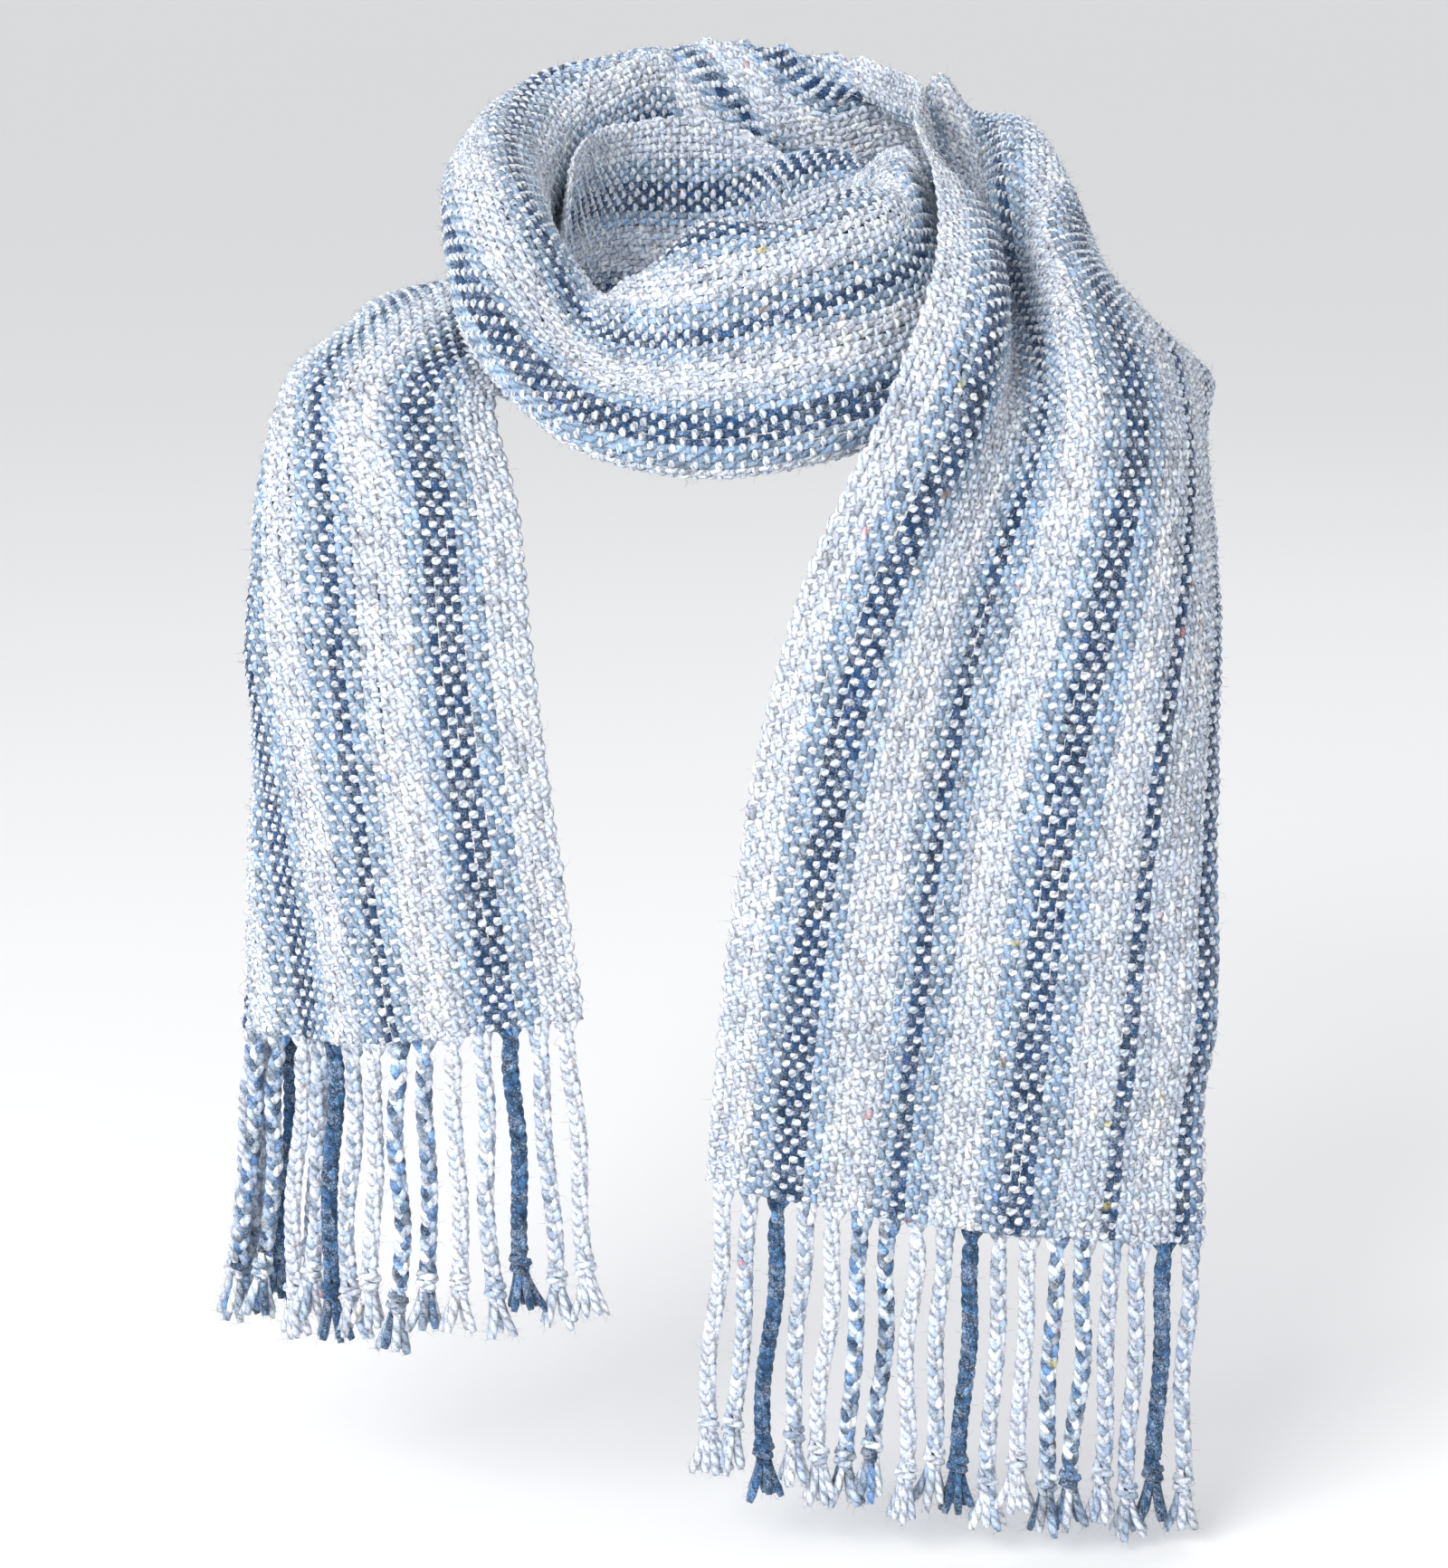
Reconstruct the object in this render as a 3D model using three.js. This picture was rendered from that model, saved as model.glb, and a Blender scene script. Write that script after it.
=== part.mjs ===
// A hand-woven striped wool scarf with a braided fringe, wrapped once round a neck and
// hanging in two tails. Millimetres, +Z up, the front faces -Y, the origin lies on the
// axis of the neck opening.
import * as THREE from 'three';
import { mergeVertices } from 'three/addons/utils/BufferGeometryUtils.js';

// Driving dimensions
const NECK_RADIUS = 58; // the neck that the wrap goes round
const CLOTH_WIDTH = 200; // selvedge to selvedge
const CLOTH_THICKNESS = 3;
const LEFT_TAIL_DROP = 208; // chest line to hem, on the wearer's right
const RIGHT_TAIL_DROP = 251;
const CORDS_PER_END = 18;
const BRAID_DIAMETER = 7;
const BRAID_LENGTH = 93;
const KNOT_DIAMETER = 9.6;
const KNOT_LENGTH = 11;
const TASSEL_LENGTH = 16;
const TASSEL_DIAMETER = 9.8;
const LENGTH_SPREAD = 5; // the cords are cut by eye, so their lengths differ
const FRINGE_SWAY = 0.012; // radians that single cords hang forwards or back
// The fringe fans out: the lean of a cord grows with its distance from the plumb one
const LEFT_FAN = { leanPerMm: 0.00136, plumbX: -114 };
const RIGHT_FAN = { leanPerMm: 0.00031, plumbX: 218 };
const PANEL_GAP = 0.4; // clearance between neighbouring solids
const CORD_SIDES = 8;
const CLOTH_COLUMNS = CORDS_PER_END;
const ROW_PITCH = 16;

// The heights where the tails leave the chest and start to hang free
const LEFT_CHEST_LINE = -95;
const RIGHT_CHEST_LINE = -121;

// The net was chosen round a 58 mm neck; a thicker neck pushes it outwards.
const NET_NECK_RADIUS = 58;

// Each station is a line across the cloth, from the selvedge that lies against the neck
// to the outer one. Stations follow the scarf from the left hem to the right hem.
const stations = [];

function station(points) {
  const spread = NECK_RADIUS - NET_NECK_RADIUS;
  stations.push(
    new THREE.CatmullRomCurve3(
      points.map(([x, y, z]) => {
        const reach = Math.hypot(x, y);
        return new THREE.Vector3(x + (x / reach) * spread, y + (y / reach) * spread, z);
      }),
      false,
      'centripetal',
    ),
  );
  return stations.length - 1;
}

function tailStation(chestLine, drop, share, points) {
  return station(points.map(([x, y, sag]) => [x, y, chestLine - drop * share + sag]));
}

const leftTail = (share, points) => tailStation(LEFT_CHEST_LINE, LEFT_TAIL_DROP, share, points);
const rightTail = (share, points) => tailStation(RIGHT_CHEST_LINE, RIGHT_TAIL_DROP, share, points);

// Left tail, its outer third folded to the back
const leftHem = leftTail(1, [
  [-55, -170, 15], [-89, -176, 11], [-122, -175, 6], [-148, -160, 1], [-165, -139, -2],
  [-182, -133, -3], [-191, -121, -3], [-182, -109, -2], [-160, -108, -1], [-136, -110, 1],
]);
leftTail(0.63, [
  [-65, -165, 8], [-97, -171, 5], [-129, -170, 3], [-156, -157, 1], [-173, -138, 0],
  [-187, -124, 0], [-186, -110, 1], [-162, -104, 2], [-132, -106, 4],
]);
leftTail(0.28, [
  [-74, -153, 2], [-104, -159, 0], [-134, -159, -2], [-163, -151, -3], [-185, -133, -4],
  [-180, -112, -3], [-152, -106, -2], [-118, -107, 0],
]);
const leftChest = station([
  [-80, -134, -97], [-108, -140, -95], [-136, -139, -94], [-163, -130, -93], [-181, -112, -92],
  [-171, -92, -90], [-142, -88, -90], [-110, -92, -92],
]);
// Over the left shoulder
station([
  [-90, -106, -54], [-112, -118, -54], [-138, -117, -52], [-160, -104, -50], [-172, -82, -48],
  [-162, -62, -48], [-134, -58, -54], [-106, -68, -60], [-92, -80, -64],
]);
station([
  [-74, -64, -43], [-91, -75, -35], [-114, -74, -27], [-138, -62, -27], [-153, -42, -34],
  [-148, -22, -46], [-122, -16, -50], [-94, -26, -52], [-84, -40, -54],
]);
station([
  [-64, -22, 6], [-74, -28, -16], [-98, -26, -17], [-124, -22, -20], [-146, -12, -28],
  [-142, 2, -42], [-116, 4, -48], [-90, -2, -50], [-80, -12, -52],
]);
const leftNeck = station([
  [-61, 18, 36], [-67, 18, 6], [-84, 20, -18], [-112, 24, -24], [-138, 30, -36],
  [-130, 36, -56], [-102, 34, -60], [-76, 30, -62],
]);
// Behind the neck, the inner pass
station([
  [-41, 50, 44], [-44, 54, 14], [-50, 62, -16], [-62, 76, -42], [-72, 90, -68],
  [-58, 90, -88], [-46, 78, -70], [-44, 72, -50],
]);
station([
  [0, 64, 44], [0, 69, 13], [0, 74, -18], [0, 86, -48], [0, 98, -76],
  [2, 84, -92], [2, 76, -72], [2, 70, -50],
]);
// The upper edge starts to turn down outwards
station([
  [50, 60, 12], [48, 56, 33], [41, 49, 28], [42, 53, 0], [46, 62, -28],
  [54, 72, -54], [66, 86, -74], [77, 99, -63], [80, 101, -42],
]);
const rightNeck = station([
  [83, 22, -16], [82, 22, 14], [73, 16, 35], [63, 12, 20], [62, 10, -10],
  [68, 10, -36], [88, 10, -50], [110, 12, -44], [118, 14, -24],
]);
station([
  [96, -33, -42], [91, -37, -10], [80, -38, 22], [68, -34, 34], [59, -28, 14],
  [62, -28, -14], [76, -34, -38], [96, -42, -58],
]);
// The front crossing, folded lengthwise with the fold on top
station([
  [86, -94, -57], [91, -101, -61], [92, -106, -54], [83, -98, -30], [76, -88, -4], [66, -74, 20], [52, -60, 20],
  [50, -62, -8], [58, -74, -36], [68, -90, -64],
]);
station([
  [36, -135, -70], [36, -143, -75], [36, -149, -69], [33, -138, -44], [30, -123, -16], [28, -103, 10], [26, -82, 9],
  [25, -82, -20], [27, -96, -48], [30, -112, -74],
]);
station([
  [-10, -143, -75], [-10, -151, -80], [-10, -157, -74], [-10, -152, -63], [-10, -142, -50],
  [-10, -129, -38], [-10, -123, -29], [-10, -124, -15], [-10, -115, -1], [-11, -102, 9],
  [-11, -89, 8], [-11, -83, -8], [-12, -86, -30], [-13, -97, -52],
]);
station([
  [-47, -138, -67], [-50, -146, -72], [-52, -152, -66], [-49, -147, -55], [-45, -134, -45],
  [-41, -120, -37], [-39, -112, -30], [-38, -107, -18], [-38, -96, -11], [-38, -84, -16],
  [-38, -80, -34], [-38, -88, -54], [-42, -104, -66], [-44, -121, -66],
]);
station([
  [-69, -128, -53], [-73, -135, -58], [-77, -139, -51], [-71, -132, -42], [-65, -118, -34],
  [-59, -104, -28], [-55, -94, -24], [-52, -84, -17], [-49, -74, -22], [-49, -70, -40],
  [-55, -82, -58], [-64, -100, -66], [-68, -114, -62], [-64, -108, -51],
]);
// Up the left side of the neck, over the left tail
station([
  [-92, -100, -34], [-97, -106, -37], [-100, -108, -30], [-91, -99, -4], [-76, -86, 8], [-61, -74, -4], [-58, -67, -26],
  [-66, -74, -39], [-81, -86, -35], [-85, -90, -17], [-78, -83, -8], [-71, -77, -17],
]);
station([
  [-107, -64, -19], [-111, -60, 6], [-109, -56, 22], [-94, -50, 34], [-74, -46, 20], [-70, -44, -5],
  [-81, -46, -12], [-96, -50, -7], [-101, -51, 11], [-91, -48, 21], [-82, -45, 9], [-87, -46, -1],
]);
const leftWrap = station([
  [-107, 0, -9], [-111, 2, 16], [-110, 4, 34], [-96, 8, 50], [-77, 8, 36], [-72, 6, 10],
  [-82, 6, -2], [-98, 6, 4], [-103, 6, 26], [-93, 6, 38], [-84, 6, 24], [-88, 6, 14],
]);
// Behind the neck again, the outer pass that stands up as a collar
station([
  [-91, 66, -3], [-93, 69, 30], [-78, 66, 65], [-62, 55, 54], [-58, 52, 25],
  [-62, 56, -2], [-77, 63, -8], [-86, 65, 10], [-84, 63, 32], [-72, 58, 32],
]);
station([
  [-35, 102, -1], [-37, 106, 32], [-32, 100, 73], [-26, 86, 72], [-24, 82, 42],
  [-25, 84, 12], [-28, 92, -16], [-32, 104, -42],
]);
station([
  [-20, 106, 11], [-20, 106, 58], [-19, 102, 71], [-19, 99, 75], [-17, 91, 75], [-16, 86, 68],
  [-16, 84, 53], [-16, 85, 23], [-16, 92, -11], [-17, 103, -39],
]);
station([
  [-4, 108, 24], [-5, 107, 56], [-7, 97, 79], [-8, 87, 66], [-7, 86, 36],
  [-6, 89, 6], [-4, 98, -22], [-2, 108, -50],
]);
station([
  [4, 108, 33], [3, 106, 58], [2, 103, 71], [2, 100, 76], [1, 93, 76], [1, 89, 68],
  [1, 86, 52], [2, 88, 22], [5, 96, -12], [10, 107, -45], [13, 112, -59],
]);
station([
  [12, 107, 41], [11, 104, 68], [9, 96, 78], [9, 89, 65], [10, 88, 36],
  [12, 92, 5], [17, 102, -24], [24, 111, -52], [30, 114, -66],
]);
station([
  [20, 107, 48], [20, 106, 55], [19, 102, 69], [18, 100, 74], [17, 94, 74], [17, 90, 66],
  [17, 88, 50], [19, 91, 20], [25, 100, -13], [34, 111, -45], [45, 117, -76],
]);
station([
  [28, 105, 54], [26, 99, 76], [25, 91, 64], [26, 90, 34], [30, 96, 4],
  [38, 106, -24], [48, 114, -52], [58, 118, -80],
]);
station([
  [38, 100, 59], [38, 98, 65], [38, 97, 71], [38, 92, 71], [39, 90, 62], [45, 90, 51],
  [50, 94, 22], [57, 102, -11], [66, 111, -43], [79, 117, -89],
]);
station([
  [49, 94, 63], [49, 91, 73], [51, 88, 62], [57, 88, 55], [64, 90, 55], [69, 93, 40],
  [74, 98, 12], [81, 104, -18], [88, 110, -48], [94, 114, -74], [97, 115, -88],
]);
station([
  [58, 84, 71], [59, 83, 66], [61, 83, 57], [72, 87, 50], [85, 93, 43], [94, 100, 10],
  [103, 106, -23], [115, 113, -81],
]);
const rightWrap = station([
  [68, 76, 68], [72, 80, 48], [84, 86, 48], [94, 88, 64], [104, 94, 44],
  [114, 100, 14], [122, 104, -16], [128, 108, -46],
]);
// Over the right shoulder, creased into a deep valley
station([
  [82, 38, 61], [90, 42, 34], [103, 48, 20], [116, 54, 44], [128, 54, 46],
  [142, 52, 18], [150, 50, -12], [156, 50, -42],
]);
station([
  [79, -2, 48], [92, 2, 20], [105, 8, 4], [121, 12, 28], [138, 10, 27],
  [152, 6, 0], [158, 2, -30], [164, 0, -58],
]);
station([
  [84, -46, 32], [106, -52, 10], [110, -34, -16], [121, -32, -10], [130, -50, 8],
  [153, -38, -8], [166, -18, -32], [176, 0, -54],
]);
station([
  [82, -112, -4], [106, -122, -22], [113, -104, -44], [122, -102, -40], [134, -120, -24],
  [160, -104, -30], [182, -78, -42], [198, -54, -54],
]);
const rightChest = station([
  [62, -155, -51], [90, -158, -60], [109, -136, -68], [119, -132, -68], [134, -149, -63],
  [160, -136, -64], [180, -112, -68], [190, -82, -72], [196, -52, -76],
]);
// Right tail
rightTail(0, [
  [31, -168, 4], [62, -174, 1], [88, -163, -1], [112, -154, -2], [140, -164, -2],
  [168, -152, -3], [188, -128, -4], [196, -98, -4], [200, -68, -4],
]);
rightTail(0.3, [
  [12, -170, 4], [43, -179, 2], [74, -173, 0], [102, -165, -1], [133, -173, -2],
  [164, -165, -4], [188, -146, -6], [199, -118, -8], [204, -88, -10],
]);
rightTail(0.62, [
  [1, -169, 6], [34, -176, 3], [66, -175, 0], [98, -171, -2], [130, -174, -4],
  [162, -168, -6], [187, -154, -8], [203, -130, -10],
]);
const rightHem = rightTail(1, [
  [-6, -166, 16], [26, -172, 10], [58, -172, 4], [90, -169, -1], [122, -172, -4],
  [154, -169, -8], [186, -160, -12], [218, -151, -16],
]);

// A point of the line across the cloth, measured along it from the inner selvedge
function acrossStation(curve, distance) {
  const length = curve.getLength();
  if (distance <= length) return curve.getPointAt(distance / length);
  const end = curve.getPoint(1);
  return end.addScaledVector(curve.getTangentAt(1), distance - length);
}

// One curve along the scarf for each of the evenly spaced columns across it
const lengthwise = [];
for (let column = 0; column <= CLOTH_COLUMNS; column += 1) {
  const distance = (CLOTH_WIDTH * column) / CLOTH_COLUMNS;
  const points = stations.map((curve) => acrossStation(curve, distance));
  lengthwise.push(new THREE.CatmullRomCurve3(points, false, 'centripetal'));
}

const pointOnCloth = (along, column) => lengthwise[column].getPoint(along / (stations.length - 1));

// The outward normal of the cloth's middle surface
function clothNormal(along, column) {
  const last = stations.length - 1;
  const step = 0.02;
  const before = pointOnCloth(Math.max(along - step, 0), column);
  const after = pointOnCloth(Math.min(along + step, last), column);
  const inner = pointOnCloth(along, Math.max(column - 1, 0));
  const outer = pointOnCloth(along, Math.min(column + 1, CLOTH_COLUMNS));
  return after.sub(before).cross(outer.sub(inner)).normalize();
}

// A closed shell of the cloth between two stations, as thick as the cloth
function clothShell(first, last) {
  const rows = [first];
  for (let index = first; index < last; index += 1) {
    const middle = CLOTH_COLUMNS / 2;
    const span = pointOnCloth(index, middle).distanceTo(pointOnCloth(index + 1, middle));
    const steps = Math.max(2, Math.round(span / ROW_PITCH));
    for (let step = 1; step <= steps; step += 1) rows.push(index + step / steps);
  }
  const length = pointOnCloth(rows[0], 0).distanceTo(pointOnCloth(rows[1], 0));
  const trim = (PANEL_GAP / 2 / length) * (rows[1] - rows[0]);
  if (first > 0) rows[0] += trim;
  if (last < stations.length - 1) rows[rows.length - 1] -= trim;

  const across = CLOTH_COLUMNS + 1;
  const positions = [];
  for (const side of [0.5, -0.5]) {
    for (const along of rows) {
      for (let column = 0; column < across; column += 1) {
        const offset = clothNormal(along, column).multiplyScalar(side * CLOTH_THICKNESS);
        positions.push(...pointOnCloth(along, column).add(offset).toArray());
      }
    }
  }
  const back = rows.length * across;
  const triangles = [];
  const quad = (a, b, c, d) => triangles.push(a, b, c, a, c, d);
  for (let row = 0; row + 1 < rows.length; row += 1) {
    for (let column = 0; column < CLOTH_COLUMNS; column += 1) {
      const a = row * across + column;
      quad(a, a + across, a + across + 1, a + 1);
      quad(back + a, back + a + 1, back + a + across + 1, back + a + across);
    }
    const left = row * across;
    const right = left + CLOTH_COLUMNS;
    quad(left, back + left, back + left + across, left + across);
    quad(right, right + across, back + right + across, back + right);
  }
  for (let column = 0; column < CLOTH_COLUMNS; column += 1) {
    const end = (rows.length - 1) * across + column;
    quad(column, column + 1, back + column + 1, back + column);
    quad(end, back + end, back + end + 1, end + 1);
  }
  const geometry = new THREE.BufferGeometry();
  geometry.setAttribute('position', new THREE.Float32BufferAttribute(positions, 3));
  geometry.setIndex(triangles);
  geometry.computeVertexNormals();
  return geometry;
}

// One braided cord, knotted near its end and cut to a short tassel, hanging from its top
function cordGeometry(extra) {
  const braid = BRAID_DIAMETER / 2;
  const knot = KNOT_DIAMETER / 2;
  const braidEnd = -(BRAID_LENGTH + extra);
  const knotEnd = braidEnd - KNOT_LENGTH;
  const tip = knotEnd - TASSEL_LENGTH;
  const profile = [
    [0, tip], [TASSEL_DIAMETER / 2, tip], [braid, knotEnd], [knot, knotEnd + KNOT_LENGTH * 0.35],
    [knot, braidEnd - KNOT_LENGTH * 0.3], [braid * 0.9, braidEnd], [braid, braidEnd / 2],
    [braid, 0], [0, 0],
  ];
  const lathe = new THREE.LatheGeometry(profile.map(([r, z]) => new THREE.Vector2(r, z)), CORD_SIDES);
  lathe.rotateX(Math.PI / 2);
  lathe.deleteAttribute('normal');
  lathe.deleteAttribute('uv');
  const merged = mergeVertices(lathe, 1e-4);
  const corners = Array.from(merged.index.array);
  const kept = [];
  for (let i = 0; i < corners.length; i += 3) {
    const [a, b, c] = corners.slice(i, i + 3);
    if (a !== b && b !== c && c !== a) kept.push(a, b, c);
  }
  merged.setIndex(kept);
  merged.computeVertexNormals();
  return merged;
}

const scarf = new THREE.Group();

function wool(color) {
  return new THREE.MeshStandardMaterial({ color, roughness: 0.95, metalness: 0 });
}

function addClothPanel(name, first, last) {
  const mesh = new THREE.Mesh(clothShell(first, last), wool(0xaab4c2));
  mesh.name = name;
  scarf.add(mesh);
}

addClothPanel('left_tail_cloth', leftHem, leftChest);
addClothPanel('left_shoulder_cloth', leftChest, leftNeck);
addClothPanel('inner_back_cloth', leftNeck, rightNeck);
addClothPanel('front_loop_cloth', rightNeck, leftWrap);
addClothPanel('outer_back_cloth', leftWrap, rightWrap);
addClothPanel('right_shoulder_cloth', rightWrap, rightChest);
addClothPanel('right_tail_cloth', rightChest, rightHem);

// The yarn colours of the cords, from the inner selvedge outwards
const cordColors = [
  0xe6e8ec, 0x9fb8d6, 0x1f3a63, 0x9fb8d6, 0xe6e8ec, 0x5f7fa8, 0x6f90b8, 0xe0e3e8, 0xa4bbd6,
  0x1f3a63, 0x9fb8d6, 0xe0e3e8, 0x46648f, 0x2c4468, 0xc3c7cc, 0x7f93ab, 0x233a5e, 0xa7adb5,
];

// Cords hang from the hem, one in the middle of each column
function addFringe(side, hem, inward, fan) {
  for (let cord = 0; cord < CORDS_PER_END; cord += 1) {
    const extra = LENGTH_SPREAD * Math.sin(cord * 2.4 + hem);
    const mesh = new THREE.Mesh(cordGeometry(extra), wool(cordColors[cord]));
    mesh.name = `${side}_fringe_${String(cord + 1).padStart(2, '0')}`;
    const top = pointOnCloth(hem, cord).add(pointOnCloth(hem, cord + 1)).multiplyScalar(0.5);
    const above = pointOnCloth(hem + inward, cord);
    const away = top.clone().sub(above).setLength(PANEL_GAP + BRAID_DIAMETER * 0.12);
    mesh.position.copy(top).add(away);
    mesh.position.z -= CLOTH_THICKNESS / 2;
    const lean = fan.leanPerMm * (fan.plumbX - top.x);
    mesh.rotation.set(FRINGE_SWAY * Math.sin(cord * 1.7), lean, 0);
    scarf.add(mesh);
  }
}

addFringe('left', leftHem, 0.1, LEFT_FAN);
addFringe('right', rightHem, -0.1, RIGHT_FAN);

export default scarf;
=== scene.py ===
# A hand-woven striped wool scarf, wrapped once round a neck, with a braided fringe.
import math

import bpy
import numpy as np
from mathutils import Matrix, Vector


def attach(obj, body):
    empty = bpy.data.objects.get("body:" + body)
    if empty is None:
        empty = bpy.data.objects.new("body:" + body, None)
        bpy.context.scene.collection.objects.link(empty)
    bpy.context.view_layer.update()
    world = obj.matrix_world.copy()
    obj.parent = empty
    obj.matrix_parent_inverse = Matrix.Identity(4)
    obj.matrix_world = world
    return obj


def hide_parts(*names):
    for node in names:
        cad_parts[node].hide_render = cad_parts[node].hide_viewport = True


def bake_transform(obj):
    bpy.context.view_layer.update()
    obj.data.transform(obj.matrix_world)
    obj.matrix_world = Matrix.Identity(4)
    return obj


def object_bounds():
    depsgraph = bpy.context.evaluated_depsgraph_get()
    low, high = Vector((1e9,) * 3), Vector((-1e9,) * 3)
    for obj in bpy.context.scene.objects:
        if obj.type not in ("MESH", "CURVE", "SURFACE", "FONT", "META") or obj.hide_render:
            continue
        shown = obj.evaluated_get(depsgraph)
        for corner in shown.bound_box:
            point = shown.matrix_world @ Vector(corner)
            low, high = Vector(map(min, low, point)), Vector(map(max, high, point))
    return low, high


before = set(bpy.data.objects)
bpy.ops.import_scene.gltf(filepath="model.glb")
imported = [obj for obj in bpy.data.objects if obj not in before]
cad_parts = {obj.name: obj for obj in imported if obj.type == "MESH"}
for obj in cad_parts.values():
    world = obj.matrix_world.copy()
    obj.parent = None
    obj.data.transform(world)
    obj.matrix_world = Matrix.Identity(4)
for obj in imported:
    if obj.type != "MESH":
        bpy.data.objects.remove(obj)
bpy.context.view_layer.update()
bpy.ops.object.select_all(action="DESELECT")
MM = 0.001

# ---- Camera: level with the top of the wrap and a metre and a half in front of the neck, looking
# down to the middle of the scarf. Its frame holds the wrap and both fringes.
bpy.ops.object.camera_add(location=(0, -1.48, 0.1), rotation=(math.radians(77.3), 0, 0))
camera = bpy.context.object
camera.name = "front_camera"
camera.data.sensor_fit = "HORIZONTAL"
camera.data.sensor_width = 36
camera.data.lens = 87.5
camera.data.clip_end = 1200  # past the far edge of the floor
bpy.context.scene.camera = camera

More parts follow.
